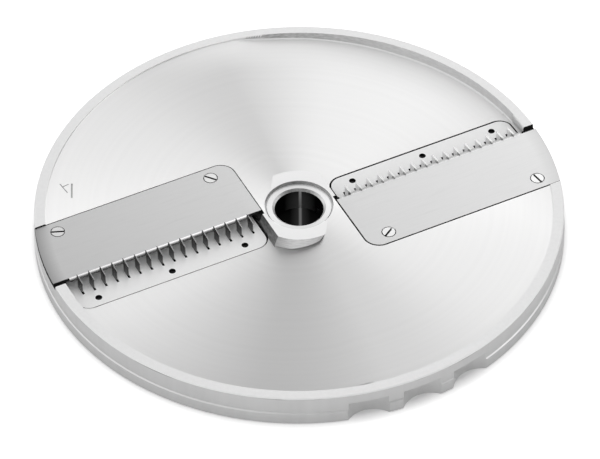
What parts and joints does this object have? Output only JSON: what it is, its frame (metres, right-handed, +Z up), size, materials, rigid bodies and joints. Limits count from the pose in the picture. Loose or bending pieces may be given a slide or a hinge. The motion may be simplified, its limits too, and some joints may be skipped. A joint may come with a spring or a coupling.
{
  "type": "julienne disc",
  "caption": "Cast disc for a vegetable cutting machine, with flat knives and combs of small upright blades that cut food into thin sticks.",
  "frame": {"origin": "on the disc's axis, in the plane that the skirt stands on", "axes": "+Z up along the shaft bore, out of the cutting face; +X along knife b, which lies on the -Y side of the X axis and cuts towards +Y"},
  "size_m": [0.2058, 0.2052, 0.0134],
  "materials": {
    "cast_aluminium": "face and rim land turned bright, outer wall as cast and polished",
    "bushing_steel": "turned",
    "knife_steel": "finely brushed",
    "comb_steel": "polished",
    "tooth_steel": "ground",
    "screw_steel": "turned",
    "pin_steel": "dark"
  },
  "bodies": {
    "root": {"disc_casting": "cast_aluminium", "hub_bushing": "bushing_steel", "knife_a": "knife_steel", "knife_b": "knife_steel", "comb_plate_a": "comb_steel", "comb_plate_b": "comb_steel", "knife_screws": "screw_steel", "comb_pins": "pin_steel", "comb_a_tooth_01": "tooth_steel", "comb_a_tooth_02": "tooth_steel", "comb_a_tooth_03": "tooth_steel", "comb_a_tooth_04": "tooth_steel", "comb_a_tooth_05": "tooth_steel", "comb_a_tooth_06": "tooth_steel", "comb_a_tooth_07": "tooth_steel", "comb_a_tooth_08": "tooth_steel", "comb_a_tooth_09": "tooth_steel", "comb_a_tooth_10": "tooth_steel", "comb_a_tooth_11": "tooth_steel", "comb_a_tooth_12": "tooth_steel", "comb_a_tooth_13": "tooth_steel", "comb_a_tooth_14": "tooth_steel", "comb_a_tooth_15": "tooth_steel", "comb_a_tooth_16": "tooth_steel", "comb_b_tooth_01": "tooth_steel", "comb_b_tooth_02": "tooth_steel", "comb_b_tooth_03": "tooth_steel", "comb_b_tooth_04": "tooth_steel", "comb_b_tooth_05": "tooth_steel", "comb_b_tooth_06": "tooth_steel", "comb_b_tooth_07": "tooth_steel", "comb_b_tooth_08": "tooth_steel", "comb_b_tooth_09": "tooth_steel", "comb_b_tooth_10": "tooth_steel", "comb_b_tooth_11": "tooth_steel", "comb_b_tooth_12": "tooth_steel", "comb_b_tooth_13": "tooth_steel", "comb_b_tooth_14": "tooth_steel", "comb_b_tooth_15": "tooth_steel", "comb_b_tooth_16": "tooth_steel"}
  },
  "joints": []
}
